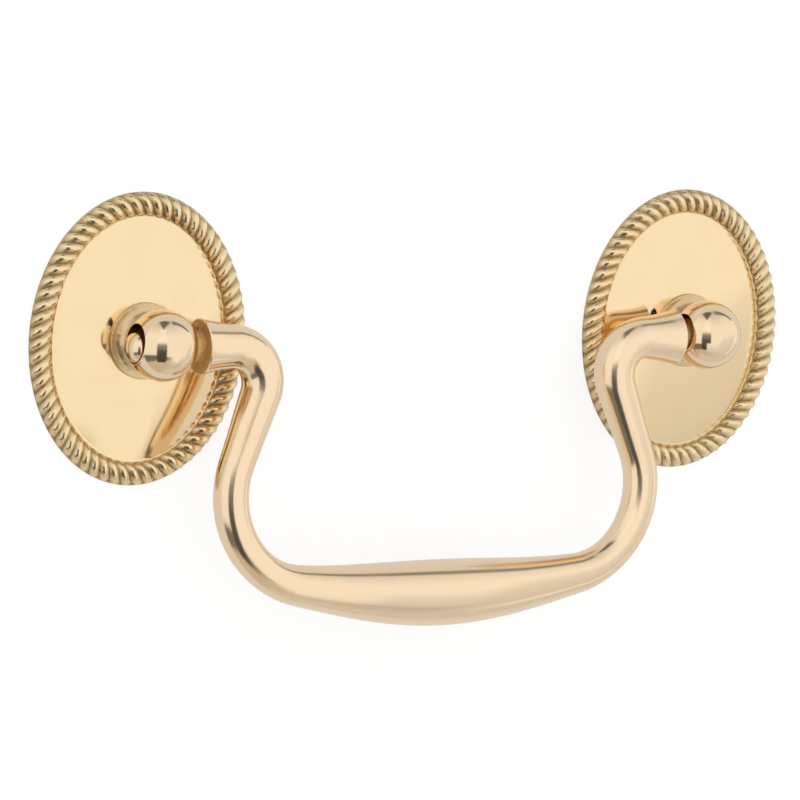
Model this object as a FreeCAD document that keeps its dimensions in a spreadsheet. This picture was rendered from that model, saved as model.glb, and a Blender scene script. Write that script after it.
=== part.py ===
import FreeCAD, Part
import math
import os
import Sketcher

# A bail pull: two oval rosettes with a rope rim, two ball-headed posts with nuts, and a swan-neck bail.
# X runs along the two posts, Z is up, and the back of the rosettes lies in the plane Y = 0.
# The front, where the bail hangs, is towards -Y.

Vector = FreeCAD.Vector
Rotation = FreeCAD.Rotation
Placement = FreeCAD.Placement

TO_Y = Rotation(Vector(1, 0, 0), -90)
TO_X = Rotation(Vector(0, 1, 0), 90)

doc = FreeCAD.newDocument("bail_pull")

# Driving dimensions in millimetres, degrees or counts
DIMENSIONS = [
    ("post_spacing", 76.2, "between the posts' axes, the three-inch boring"),
    ("rosette_width", 28.5, "oval across X"),
    ("rosette_height", 34.8, "oval along Z"),
    ("plate_edge", 0.35, "plate thickness where it meets the rim"),
    ("plate_crown", 1.7, "rise of the dome above that edge"),
    ("crown_flatness", 0.8, "share of the dome's ellipsoid below the plate's edge"),
    ("dome_land", 0.15, "flat between the dome and the rope"),
    ("rim_width", 2.75, "rope rim seen from the front"),
    ("rim_wall", 0.4, "plain outer wall under the rope"),
    ("rim_crest", 1.45, "rope's highest line above the back"),
    ("strand_count", 64, "strands round one rim"),
    ("strand_lean", 1.5, "strand pitches that a strand advances across the rim"),
    ("strand_groove", 0.4, "depth of a groove as a share of the bead"),
    ("post_reach", 6.3, "ball's centre in front of the back"),
    ("ball_dia", 8.5, "post's head"),
    ("foot_dia", 9.1, "flange under the head"),
    ("foot_thickness", 0.35, "flange edge"),
    ("cove_start", 45, "angle on the ball where the cove to the foot begins"),
    ("cove_land", 0.5, "flat of the flange outside the cove"),
    ("cove_radius", 1.2, "hollow between the ball and the foot"),
    ("seat_drop", 0.3, "depth of the flat seat below the dome's top"),
    ("seat_margin", 0.15, "seat wider than the flange, on the radius"),
    ("shoulder_dia", 5.0, "post's shoulder in the rosette's hole"),
    ("shoulder_gap", 0.06, "radial play of the shoulder in its hole"),
    ("shank_dia", 4.17, "plain shank, size 8 screw stock"),
    ("shank_length", 12, "plain shank behind the back"),
    ("thread_dia", 3.65, "threaded end at its pitch diameter"),
    ("stud_length", 25.4, "shank and thread behind the back"),
    ("stud_chamfer", 0.5, "at the stud's tip"),
    ("board_thickness", 19.05, "drawer front that the nut clamps"),
    ("nut_across", 8.73, "across flats"),
    ("nut_thickness", 3.2, "nut along the stud"),
    ("nut_play", 0.05, "radial play on the thread"),
    ("nut_face", 0.95, "round face of the nut as a share of its flats"),
    ("cross_hole_dia", 4.7, "hole through the ball for the bail's pin"),
    ("cross_hole_rise", 0.3, "hole's axis above the ball's centre"),
    ("pin_dia", 3.6, "bail's pin"),
    ("pin_play", 0.05, "gap under the pin where it rests in the hole"),
    ("pin_proud", 0.45, "pin's tip past the ball"),
    ("pin_dome", 1.3, "length of the pin's rounded end"),
    ("arm_gap", 0.6, "ball to the flat end of the arm"),
    ("arm_run", 4.26, "straight arm"),
    ("elbow_radius", 4.36, "bend from the arm down to the neck"),
    ("neck_lean", 20.9, "neck from upright, outwards and down"),
    ("neck_run", 8.57, "straight neck"),
    ("corner_radius", 11.0, "bend from the neck to the grip"),
    ("grip_rise", 9.1, "slope of the grip's arc at its ends"),
    ("arm_end_dia", 6.8, "trumpet end of the arm"),
    ("arm_dia", 5.1, "arm and elbow"),
    ("neck_dia", 4.25, "neck and corner"),
    ("grip_dia", 8.0, "middle of the grip"),
    ("flare_length", 6, "path length of the trumpet end"),
    ("arm_length", 8, "path length where the arm starts to thin"),
    ("neck_start", 23, "path length where the neck is thinnest"),
    ("grip_start", 33, "path length where the grip starts to swell"),
    ("bail_swing", 3.75, "turn of the hanging bail out from the back"),
]

sheet = doc.addObject("Spreadsheet::Sheet", "sheet")
for row, (alias, value, note) in enumerate(DIMENSIONS, start=1):
    sheet.set(f"A{row}", alias)
    sheet.set(f"B{row}", str(value))
    sheet.set(f"C{row}", note)
    sheet.setAlias(f"B{row}", alias)
doc.recompute()


def size(alias):
    """A driving dimension's value, for the code that works out curves and facets."""
    return float(sheet.get(alias))


def cell(words):
    """An expression on the sheet: each name of a dimension becomes a reference to its cell."""
    aliases = {alias for alias, _, _ in DIMENSIONS}
    return " ".join("sheet." + w if w in aliases else w for w in words.split())


def bound(type_name, name, **expressions):
    """A feature whose properties follow expressions on the sheet."""
    feature = doc.addObject(type_name, name)
    for prop, words in expressions.items():
        feature.setExpression(prop.replace("__", "."), cell(words))
    return feature


def joined(type_name, name, **links):
    """A boolean, loft or extrusion with its links set."""
    feature = doc.addObject(type_name, name)
    for prop, value in links.items():
        setattr(feature, prop, value)
    return feature


# Rosette: plate, dome and rope rim


def oval_turns(half_width, half_height, steps=7200):
    """A function from a share of the oval's edge length to its angle."""
    lengths = [0.0]
    for k in range(steps):
        angle = (k + 0.5) * 2 * math.pi / steps
        step = math.hypot(half_width * math.sin(angle), half_height * math.cos(angle)) * 2 * math.pi / steps
        lengths.append(lengths[-1] + step)

    def angle_at(turn):
        whole, part = divmod(turn, 1.0)
        target = part * lengths[-1]
        low, high = 0, steps
        while high - low > 1:
            middle = (low + high) // 2
            if lengths[middle] <= target:
                low = middle
            else:
                high = middle
        share = (target - lengths[low]) / (lengths[high] - lengths[low])
        return 2 * math.pi * (whole + (low + share) / steps)

    return angle_at


def rope_ring():
    """The rope rim as a ring of plane facets: leaning strands on a half-round bead, over a plain wall."""
    half_width = size("rosette_width") / 2
    half_height = size("rosette_height") / 2
    strands = int(size("strand_count"))
    angle_at = oval_turns(half_width, half_height)
    lines_per_strand = 4
    spans_across = 4
    columns = strands * lines_per_strand

    def edge_point(turn, inset, depth):
        angle = angle_at(turn)
        x = half_width * math.cos(angle)
        z = half_height * math.sin(angle)
        normal = Vector(x / half_width**2, 0, z / half_height**2).normalize()
        return Vector(x, -depth, z) - normal * inset

    def rope_point(column, row):
        around = math.pi * row / spans_across
        dip = 1 - math.sin(math.pi * (column % lines_per_strand) / lines_per_strand)
        reach = 1 - size("strand_groove") * dip * math.sin(around)
        across = 0.5 - 0.5 * math.cos(around) * reach
        base = size("rim_wall") + (size("plate_edge") - size("rim_wall")) * across
        depth = base + (size("rim_crest") - base) * math.sin(around) * reach
        turn = (column / lines_per_strand - size("strand_lean") * across) / strands
        return edge_point(turn, across * size("rim_width"), depth)

    rows = [[rope_point(c, r) for c in range(columns)] for r in range(spans_across + 1)]
    outer_foot = [Vector(p.x, 0, p.z) for p in rows[0]]
    inner_foot = [Vector(p.x, 0, p.z) for p in rows[-1]]

    def facet(*corners):
        return Part.Face(Part.makePolygon([*corners, corners[0]]))

    faces = []
    for c in range(columns):
        n = (c + 1) % columns
        for near, far in zip(rows, rows[1:]):
            faces.append(facet(near[c], near[n], far[c]))
            faces.append(facet(near[n], far[n], far[c]))
        faces.append(facet(rows[0][c], rows[0][n], outer_foot[n], outer_foot[c]))
        faces.append(facet(rows[-1][c], rows[-1][n], inner_foot[n], inner_foot[c]))
    outline = Part.makePolygon(outer_foot + outer_foot[:1])
    opening = Part.makePolygon(inner_foot + inner_foot[:1])
    faces.append(Part.makeFace([outline, opening], "Part::FaceMakerBullseye"))
    shell = Part.makeShell(faces)
    shell.sewShape()
    ring = Part.Solid(shell)
    if ring.Volume < 0:
        ring.reverse()
    return ring


def make_rosette(label, side, ring):
    """One oval rosette, drilled and spot-faced for its post. side is -1 for the left one, 1 for the right."""
    outline = bound(
        "Part::Ellipse",
        f"{label}_outline",
        MajorRadius="rosette_height / 2 - rim_width / 2",
        MinorRadius="rosette_width / 2 - rim_width / 2",
    )
    outline.Placement = Placement(Vector(), Rotation(Vector(0, 0, 1), Vector(1, 0, 0), Vector(0, 1, 0), "XYZ"))
    plate = joined("Part::Extrusion", f"{label}_plate", Base=outline, DirMode="Custom", Dir=Vector(0, -1, 0), Solid=True)
    plate.setExpression("LengthFwd", cell("plate_edge"))

    # The dome is the cap of an ellipsoid whose edge oval lies just inside the rope
    shrink = "/ sqrt( 1 - crown_flatness ^ 2 )"
    ellipsoid = bound(
        "Part::Ellipsoid",
        f"{label}_ellipsoid",
        Radius1="plate_crown / ( 1 - crown_flatness )",
        Radius2="( rosette_width / 2 - rim_width - dome_land ) " + shrink,
        Radius3="( rosette_height / 2 - rim_width - dome_land ) " + shrink,
        Placement__Base__y="plate_crown * crown_flatness / ( 1 - crown_flatness ) - plate_edge",
    )
    ellipsoid.Placement = Placement(ellipsoid.Placement.Base, TO_Y)
    for angle, value in (("Angle1", -90), ("Angle2", 90), ("Angle3", 360)):
        setattr(ellipsoid, angle, value)
    front = bound(
        "Part::Box",
        f"{label}_front",
        Length="rosette_width",
        Width="plate_crown * 2",
        Height="rosette_height",
        Placement__Base__x="- rosette_width / 2",
        Placement__Base__y="- plate_edge - plate_crown * 2",
        Placement__Base__z="- rosette_height / 2",
    )
    dome = joined("Part::Common", f"{label}_dome", Base=ellipsoid, Tool=front)
    rope = doc.addObject("Part::Feature", f"{label}_rope")
    rope.Shape = ring
    blank = joined("Part::MultiFuse", f"{label}_blank", Shapes=[plate, dome, rope])

    seat = bound(
        "Part::Cylinder",
        f"{label}_seat",
        Radius="foot_dia / 2 + seat_margin",
        Height="plate_crown",
        Placement__Base__y="- plate_edge - plate_crown + seat_drop",
    )
    seat.Placement = Placement(seat.Placement.Base, TO_Y.inverted())
    hole = bound(
        "Part::Cylinder",
        f"{label}_hole",
        Radius="shoulder_dia / 2 + shoulder_gap",
        Height="4 * plate_crown",
        Placement__Base__y="2 * plate_crown",
    )
    hole.Placement = Placement(hole.Placement.Base, TO_Y.inverted())
    drill = joined("Part::MultiFuse", f"{label}_drill", Shapes=[seat, hole])
    rosette = joined("Part::Cut", label, Base=blank, Tool=drill)
    rosette.setExpression("Placement.Base.x", cell(f"{side} * post_spacing / 2"))
    return rosette


# Post: a turned profile, then the cross hole


def origin_plane(body, role):
    """One of the body's own origin planes."""
    return next(f for f in body.Origin.OriginFeatures if f.Role == role)


def make_post(label, side):
    """A ball-headed post, turned about the Y axis and drilled across for the bail's pin."""
    body = doc.addObject("PartDesign::Body", label)
    profile = body.newObject("Sketcher::SketchObject", f"{label}_profile")
    profile.AttachmentSupport = [(origin_plane(body, "XY_Plane"), "")]
    profile.MapMode = "FlatFace"

    ball = size("ball_dia") / 2
    centre = -size("post_reach")
    start = math.radians(size("cove_start"))
    seat_y = -(size("plate_edge") + size("plate_crown") - size("seat_drop"))
    foot_y = seat_y - size("foot_thickness")
    radii = [size(d) / 2 for d in ("foot_dia", "shoulder_dia", "shank_dia", "thread_dia")]
    foot, shoulder, shank, thread = radii
    tip = size("stud_length")
    chamfer = size("stud_chamfer")

    ball_end = Vector(ball * math.sin(start), centre + ball * math.cos(start), 0)
    cove_end = Vector(foot - size("cove_land"), foot_y, 0)
    corners = [
        cove_end,
        Vector(foot, foot_y, 0),
        Vector(foot, seat_y, 0),
        Vector(shoulder, seat_y, 0),
        Vector(shoulder, 0, 0),
        Vector(shank, 0, 0),
        Vector(shank, size("shank_length"), 0),
        Vector(thread, size("shank_length"), 0),
        Vector(thread, tip - chamfer, 0),
        Vector(thread - chamfer, tip, 0),
        Vector(0, tip, 0),
        Vector(0, centre - ball, 0),
    ]
    chord = cove_end - ball_end
    outward = Vector(chord.y, -chord.x, 0).normalize()
    cove_radius = size("cove_radius")
    cove_centre = (ball_end + cove_end) * 0.5 + outward * math.sqrt(cove_radius**2 - (chord.Length / 2) ** 2)
    cove_turn = [math.atan2(p.y - cove_centre.y, p.x - cove_centre.x) for p in (cove_end, ball_end)]
    head = profile.addGeometry(
        Part.ArcOfCircle(Part.Circle(Vector(0, centre, 0), Vector(0, 0, 1), ball), -math.pi / 2, math.pi / 2 - start)
    )
    cove = profile.addGeometry(Part.ArcOfCircle(Part.Circle(cove_centre, Vector(0, 0, 1), cove_radius), *cove_turn))
    lines = [profile.addGeometry(Part.LineSegment(a, b)) for a, b in zip(corners, corners[1:])]

    def constrain(kind, *items):
        return profile.addConstraint(Sketcher.Constraint(kind, *items))

    def drive(kind, items, value, words):
        """A dimension of the profile that follows the sheet."""
        number = constrain(kind, *items, value)
        profile.setExpression(f"Constraints[{number}]", cell(words))

    for before, after in zip(lines, lines[1:]):
        constrain("Coincident", before, 2, after, 1)
    constrain("Coincident", lines[-1], 2, head, 1)
    constrain("Coincident", head, 2, cove, 2)
    constrain("Coincident", cove, 1, lines[0], 1)
    for number in (0, 2, 4, 6, 9):
        constrain("Horizontal", lines[number])
    for number in (1, 3, 5, 7):
        constrain("Vertical", lines[number])
    axis = -2
    constrain("PointOnObject", head, 3, axis)
    constrain("PointOnObject", head, 1, axis)
    constrain("PointOnObject", lines[9], 2, axis)

    origin = (-1, 1)
    drive("Radius", (head,), ball, "ball_dia / 2")
    drive("DistanceY", (head, 3, *origin), -centre, "post_reach")
    drive("DistanceX", (*origin, head, 2), ball_end.x, "ball_dia / 2 * sin( cove_start * 1deg )")
    drive("DistanceX", (*origin, lines[0], 1), cove_end.x, "foot_dia / 2 - cove_land")
    drive("Radius", (cove,), cove_radius, "cove_radius")
    drive("DistanceX", (*origin, lines[1], 1), foot, "foot_dia / 2")
    drive("DistanceY", (lines[1], 1, lines[1], 2), seat_y - foot_y, "foot_thickness")
    drive("DistanceY", (lines[2], 2, *origin), -seat_y, "plate_edge + plate_crown - seat_drop")
    drive("DistanceX", (*origin, lines[3], 1), shoulder, "shoulder_dia / 2")
    constrain("PointOnObject", lines[3], 2, -1)
    drive("DistanceX", (*origin, lines[5], 1), shank, "shank_dia / 2")
    drive("DistanceY", (*origin, lines[5], 2), size("shank_length"), "shank_length")
    drive("DistanceX", (*origin, lines[7], 1), thread, "thread_dia / 2")
    drive("DistanceY", (lines[7], 2, lines[8], 2), chamfer, "stud_chamfer")
    drive("DistanceX", (lines[8], 2, lines[7], 2), chamfer, "stud_chamfer")
    drive("DistanceY", (*origin, lines[9], 2), tip, "stud_length")

    turned = body.newObject("PartDesign::Revolution", f"{label}_turned")
    turned.Profile = profile
    turned.ReferenceAxis = (profile, ["V_Axis"])
    turned.Angle = 360
    doc.recompute()
    solid_volume = turned.Shape.Volume

    mouth = body.newObject("Sketcher::SketchObject", f"{label}_mouth")
    mouth.AttachmentSupport = [(origin_plane(body, "YZ_Plane"), "")]
    mouth.MapMode = "FlatFace"
    hole_radius = size("cross_hole_dia") / 2
    hole_centre = Vector(centre, size("cross_hole_rise"), 0)
    circle = mouth.addGeometry(Part.Circle(hole_centre, Vector(0, 0, 1), hole_radius))
    for kind, items, value, words in (
        ("Radius", (circle,), hole_radius, "cross_hole_dia / 2"),
        ("DistanceX", (circle, 3, *origin), -centre, "post_reach"),
        ("DistanceY", (*origin, circle, 3), hole_centre.y, "cross_hole_rise"),
    ):
        number = mouth.addConstraint(Sketcher.Constraint(kind, *items, value))
        mouth.setExpression(f"Constraints[{number}]", cell(words))
    drilled = body.newObject("PartDesign::Pocket", f"{label}_cross_hole")
    drilled.Profile = mouth
    drilled.Type = "ThroughAll"
    drilled.Midplane = True
    doc.recompute()
    expected = math.pi * hole_radius**2 * size("ball_dia") * 0.7
    if solid_volume - drilled.Shape.Volume < expected:
        raise RuntimeError(f"{label}: the cross hole was not cut")
    body.setExpression("Placement.Base.x", cell(f"{side} * post_spacing / 2"))
    return body


def make_nut(label, side):
    """A hexagon nut on the stud, behind a drawer front, with the corners of its outer face turned off."""
    hexagon = bound(
        "Part::Prism",
        f"{label}_hexagon",
        Circumradius="nut_across / 2 / cos( 30deg )",
        Height="nut_thickness",
    )
    hexagon.Polygon = 6
    turned = bound(
        "Part::Cone",
        f"{label}_turned",
        Radius1="nut_across / 2 * nut_face + nut_thickness / tan( 30deg )",
        Radius2="nut_across / 2 * nut_face",
        Height="nut_thickness",
    )
    blank = joined("Part::Common", f"{label}_blank", Base=hexagon, Tool=turned)
    bore = bound("Part::Cylinder", f"{label}_bore", Radius="thread_dia / 2 + nut_play", Height="nut_thickness")
    nut = joined("Part::Cut", label, Base=blank, Tool=bore)
    nut.Placement = Placement(Vector(), TO_Y)
    nut.setExpression("Placement.Base.x", cell(f"{side} * post_spacing / 2"))
    nut.setExpression("Placement.Base.y", cell("board_thickness"))
    return nut


# Bail: round sections along a swan-neck path


def smooth(share):
    """An even swell from 0 to 1."""
    share = min(max(share, 0.0), 1.0)
    return 0.5 - 0.5 * math.cos(math.pi * share)


def bail_path():
    """The bail's middle line from one arm's end to the other.

    Each station is (x, drop, heading, length so far). The heading turns from level (0) downwards. Half of the
    line is worked out, and the other half is its mirror image.
    """
    lean = math.radians(size("neck_lean"))
    rise = math.radians(size("grip_rise"))
    x = -(size("post_spacing") / 2 - size("ball_dia") / 2 - size("arm_gap"))
    half = [(x, 0.0, 0.0, 0.0)]

    def run(length, spans):
        for _ in range(spans):
            x, drop, heading, far = half[-1]
            step = length / spans
            half.append((x + step * math.cos(heading), drop + step * math.sin(heading), heading, far + step))

    def bend(radius, turn, spans):
        for _ in range(spans):
            x, drop, heading, far = half[-1]
            step = turn / spans
            chord = 2 * radius * math.sin(abs(step) / 2)
            middle = heading + step / 2
            x += chord * math.cos(middle)
            drop += chord * math.sin(middle)
            half.append((x, drop, heading + step, far + radius * abs(step)))

    run(size("arm_run"), 2)
    bend(size("elbow_radius"), math.pi / 2 + lean, 6)
    run(size("neck_run"), 3)
    bend(size("corner_radius"), -(math.pi / 2 + lean - rise), 6)
    grip_radius = -half[-1][0] / math.sin(rise)
    bend(grip_radius, -rise, 5)
    whole = 2 * half[-1][3]
    return half + [(-x, drop, -heading, whole - far) for x, drop, heading, far in reversed(half[:-1])]


def bail_diameter(far, whole):
    """The bail's thickness by the length along its path, the same from both ends."""
    far = min(far, whole - far)
    flare = max(0.0, 1 - far / size("flare_length")) ** 2
    thinning = smooth((far - size("arm_length")) / (size("neck_start") - size("arm_length")))
    swelling = smooth((far - size("grip_start")) / (whole / 2 - size("grip_start")))
    return (
        size("arm_dia")
        + (size("arm_end_dia") - size("arm_dia")) * flare
        + (size("neck_dia") - size("arm_dia")) * thinning
        + (size("grip_dia") - size("neck_dia")) * swelling
    )


def bail_curve(stations):
    """The bail without its pins: a front and a back patch, each an exact half circle at every station.

    The five poles of a half circle are carried along the path by splines, so a bend stays round and smooth.
    """
    whole = stations[-1][3]
    lengths = [far for _, _, _, far in stations]
    half_circle = [(1, 0, 1.0), (1, 1, math.sqrt(0.5)), (0, 1, 1.0), (-1, 1, math.sqrt(0.5)), (-1, 0, 1.0)]

    def patch(front):
        rails = []
        for up, out, _ in half_circle:
            points = []
            for x, drop, heading, far in stations:
                across = Vector(math.sin(heading), 0, math.cos(heading)) * up + front * out
                points.append(Vector(x, 0, -drop) + across * (bail_diameter(far, whole) / 2))
            rail = Part.BSplineCurve()
            rail.interpolate(Points=points, Parameters=lengths)
            rails.append(rail)
        along = rails[0]
        surface = Part.BSplineSurface()
        surface.buildFromPolesMultsKnots(
            [rail.getPoles() for rail in rails],
            [3, 2, 3],
            along.getMultiplicities(),
            [0.0, 0.5, 1.0],
            along.getKnots(),
            False,
            False,
            2,
            along.Degree,
            [[weight] * along.NbPoles for _, _, weight in half_circle],
        )
        return surface.toShape()

    faces = [patch(Vector(0, -1, 0)), patch(Vector(0, 1, 0))]
    edges = [edge for face in faces for edge in face.Edges]
    for x in (stations[0][0], stations[-1][0]):
        rim = [edge for edge in edges if all(abs(corner.X - x) < 1e-6 for corner in edge.Vertexes)]
        faces.append(Part.Face(Part.Wire(rim)))
    shell = Part.makeShell(faces)
    shell.sewShape()
    solid = Part.Solid(shell)
    if solid.Volume < 0:
        solid.reverse()
    return solid


def make_bail(label):
    """The bail: its curve from arm end to arm end, and a round-ended pin on each arm."""
    curve = doc.addObject("Part::Feature", f"{label}_curve")
    curve.Shape = bail_curve(bail_path())
    pieces = [curve]
    for side in (-1, 1):
        name = f"{label}_pin_{'left' if side < 0 else 'right'}"
        pin = bound(
            "Part::Cylinder",
            name,
            Radius="pin_dia / 2",
            Height="ball_dia + arm_gap + pin_proud - pin_dome",
            Placement__Base__x=f"{side} * ( post_spacing / 2 - ball_dia / 2 - arm_gap )",
        )
        pin.Placement = Placement(pin.Placement.Base, TO_X if side > 0 else TO_X.inverted())
        end = bound(
            "Part::Ellipsoid",
            f"{name}_end",
            Radius1="pin_dome",
            Radius2="pin_dia / 2",
            Radius3="pin_dia / 2",
            Placement__Base__x=f"{side} * ( post_spacing / 2 + ball_dia / 2 + pin_proud - pin_dome )",
        )
        end.Placement = Placement(end.Placement.Base, TO_X)
        for angle, value in (("Angle1", -90), ("Angle2", 90), ("Angle3", 360)):
            setattr(end, angle, value)
        pieces += [pin, end]
    bail = joined("Part::MultiFuse", label, Shapes=pieces)
    bail.Placement = Placement(Vector(), Rotation(Vector(-1, 0, 0), size("bail_swing")))
    bail.setExpression("Placement.Rotation.Angle", cell("bail_swing"))
    bail.setExpression("Placement.Base.y", cell("- post_reach"))
    bail.setExpression("Placement.Base.z", cell("cross_hole_rise - cross_hole_dia / 2 + pin_dia / 2 + pin_play"))
    return bail


subparts = [make_bail("bail")]
ring = rope_ring()
for name, side in (("left", -1), ("right", 1)):
    subparts.append(make_rosette(f"{name}_rosette", side, ring))
    subparts.append(make_post(f"{name}_post", side))
    subparts.append(make_nut(f"{name}_nut", side))
doc.recompute()

for feature in doc.Objects:
    if "Invalid" in feature.State or "Error" in feature.State:
        raise RuntimeError(f"{feature.Name} failed: {feature.State}")
os.makedirs("parts", exist_ok=True)
for part in subparts:
    shape = part.Shape
    if shape.isNull() or not shape.isValid() or len(shape.Solids) != 1:
        raise RuntimeError(f"{part.Label} is not one valid solid")
    print(f"{part.Label}: {shape.Volume:.1f} mm3, {len(shape.Faces)} faces, {shape.BoundBox}")
for part in subparts:
    part.Shape.exportStep(f"parts/{part.Label}.step")
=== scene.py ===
# %% [markdown]
# # A bail pull in polished brass
#
# This lesson dresses a imported CAD model of a drawer pull: two oval rosettes with a rope rim, a
# ball-headed post in each, nuts behind, and a swan-neck bail that swings on two pins. The CAD solids fix
# every size. Here each one is modelled again with a finer skin, because polished metal shows every facet
# in its reflections.
#
# The frame comes first. Its nodes stay where they are.

# %% Load the frame
import math

import bmesh
import bpy
from mathutils import Matrix, Vector


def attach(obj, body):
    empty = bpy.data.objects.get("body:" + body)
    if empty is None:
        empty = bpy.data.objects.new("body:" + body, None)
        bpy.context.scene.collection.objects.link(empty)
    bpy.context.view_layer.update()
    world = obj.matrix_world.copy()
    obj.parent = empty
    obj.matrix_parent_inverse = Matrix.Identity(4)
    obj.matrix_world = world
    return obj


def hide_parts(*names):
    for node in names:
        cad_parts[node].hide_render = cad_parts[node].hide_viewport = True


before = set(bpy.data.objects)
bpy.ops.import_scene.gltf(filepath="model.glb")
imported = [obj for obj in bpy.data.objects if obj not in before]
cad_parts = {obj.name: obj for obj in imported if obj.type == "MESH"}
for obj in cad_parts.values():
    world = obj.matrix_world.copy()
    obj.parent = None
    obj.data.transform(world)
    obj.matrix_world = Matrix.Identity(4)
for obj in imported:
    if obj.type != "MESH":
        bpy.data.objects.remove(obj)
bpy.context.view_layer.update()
MM = 0.001
print("nodes:", sorted(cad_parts))

# %% [markdown]
# ## Working by hand in code
#
# Blender's operators act on whatever is selected, so each step starts from nothing selected. These few
# helpers add a first vertex, draw a line from it by extruding, and pick vertices by where they are.


# %% Helpers for edit mode
WELD_REACH = 0.5e-6


def deselect():
    """Back to object mode with nothing selected."""
    if bpy.context.object and bpy.context.object.mode != "OBJECT":
        bpy.ops.object.mode_set(mode="OBJECT")
    bpy.ops.object.select_all(action="DESELECT")


def start_editing(name):
    """Names the primitive just added, puts its place into its mesh and opens it, all selected."""
    piece = bpy.context.object
    piece.name = name
    piece.data.name = name
    bpy.ops.object.transform_apply(location=True, rotation=True, scale=True)
    bpy.ops.object.mode_set(mode="EDIT")
    bpy.ops.mesh.select_all(action="SELECT")
    return piece


def pick(test):
    """Selects the vertices that pass the test, with the edges and faces between them."""
    mesh = bmesh.from_edit_mesh(bpy.context.object.data)
    for vert in mesh.verts:
        vert.select_set(test(vert))
    mesh.select_flush(True)
    mesh.select_flush(False)
    bmesh.update_edit_mesh(bpy.context.object.data)


def on_edge(vert):
    """True on an open edge of the mesh."""
    return any(len(edge.link_faces) == 1 for edge in vert.link_edges)


def weld():
    """Merges doubled vertices and turns every face outwards."""
    bpy.ops.mesh.select_all(action="SELECT")
    bpy.ops.mesh.remove_doubles(threshold=WELD_REACH)
    bpy.ops.mesh.normals_make_consistent(inside=False)


def close(piece, crease):
    """Leaves edit mode and shades the piece smooth, except across edges sharper than the crease."""
    bpy.ops.object.mode_set(mode="OBJECT")
    bpy.ops.object.shade_smooth_by_angle(angle=math.radians(crease))
    print(f"{piece.name}: {len(piece.data.polygons)} faces")
    return piece


def print_box(piece):
    """Prints the piece's box in millimetres."""
    points = [v.co / MM for v in piece.data.vertices]
    lowest = [round(min(p[k] for p in points), 2) for k in range(3)]
    highest = [round(max(p[k] for p in points), 2) for k in range(3)]
    print(f"{piece.name}: from {lowest} to {highest}")


def apply_modifiers(piece):
    """Applies what is on the piece's modifier stack, from the top."""
    bpy.context.view_layer.objects.active = piece
    for modifier in list(piece.modifiers):
        bpy.ops.object.modifier_apply(modifier=modifier.name)


def cut(piece, tool, operation):
    """A Boolean of two closed pieces; the tool is removed."""
    deselect()
    piece.select_set(True)
    boolean = piece.modifiers.new("cut", "BOOLEAN")
    boolean.operation = operation
    boolean.solver = "EXACT"
    boolean.object = tool
    apply_modifiers(piece)
    bpy.data.objects.remove(tool)


# %% [markdown]
# ## Turning on a lathe
#
# The posts are turned from bar, so half of their outline is drawn and spun about the axis. A plane merged
# to one vertex is the pencil: each extrusion draws the next stretch of the outline. The same lathe makes
# the tools that drill and chamfer other pieces.


# %% The lathe
def draw_line(name, points):
    """An open line through points in millimetres, drawn by extruding one vertex."""
    deselect()
    bpy.ops.mesh.primitive_plane_add(size=MM, location=Vector(points[0]) * MM)
    piece = start_editing(name)
    bpy.ops.mesh.merge(type="CENTER")
    for before, after in zip(points, points[1:]):
        step = (Vector(after) - Vector(before)) * MM
        bpy.ops.mesh.extrude_region_move(TRANSFORM_OT_translate={"value": step})
    return piece


def lathe(name, outline, steps, axis="Y", centre=(0, 0, 0)):
    """Spins an outline of (radius, distance along the axis) into a closed piece, left in edit mode."""
    if axis == "Y":
        points = [(radius, along, 0) for radius, along in outline]
    else:
        points = [(along, radius, 0) for radius, along in outline]
    piece = draw_line(name, points)
    bpy.ops.mesh.select_all(action="SELECT")
    direction = (0, 1, 0) if axis == "Y" else (1, 0, 0)
    bpy.ops.mesh.spin(steps=steps, angle=2 * math.pi, center=(0, 0, 0), axis=direction)
    weld()
    bpy.ops.mesh.select_all(action="SELECT")
    bpy.ops.transform.translate(value=Vector(centre) * MM)
    return piece


def arc(centre, radius, start, stop, count):
    """Points on an arc, from start to stop degrees."""
    turns = [math.radians(start + (stop - start) * k / count) for k in range(count + 1)]
    return [(centre[0] + radius * math.cos(t), centre[1] + radius * math.sin(t)) for t in turns]


# %% [markdown]
# ## The posts
#
# A post is a ball on a coved foot, with a shoulder that passes through the rosette and a size 8 stud
# behind it. The ball, the cove and the rounded foot are one outline. The hole for the bail's pin is cut
# with a turned tool whose ends flare a little, so that the mouth of the hole gets the soft edge that
# polishing leaves.

# %% Post sizes in millimetres
POST_X = 38.1
POST_REACH = 6.3
BALL_R = 4.25
FOOT_R = 4.55
FOOT_THICKNESS = 0.35
SEAT_LEVEL = 1.75
SHOULDER_R = 2.5
SHANK_R = 2.085
SHANK_END = 12.0
STUD_END = 25.4
HOLE_R = 2.35
HOLE_RISE = 0.3
COVE_R = 1.2
COVE_START = 45
COVE_LAND = 0.5
EDGE_R = 0.14
SHOULDER_CHAMFER = 0.1
RUNOUT_START = 0.2
RUNOUT_END = 0.1
RUNOUT_DEPTH = 0.35
BALL_SPANS = 84
COVE_SPANS = 14
EDGE_SPANS = 5
POST_STEPS = 128
POST_CREASE = 32

# The drill for the cross hole: the arc of its flared mouth, and the drill's half length and end radius
MOUTH_X = 3.86
MOUTH_R = 0.45
MOUTH_TURN = 58
MOUTH_SPANS = 6
DRILL_END = 5.2
DRILL_END_R = 3.6
DRILL_STEPS = 96


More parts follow.
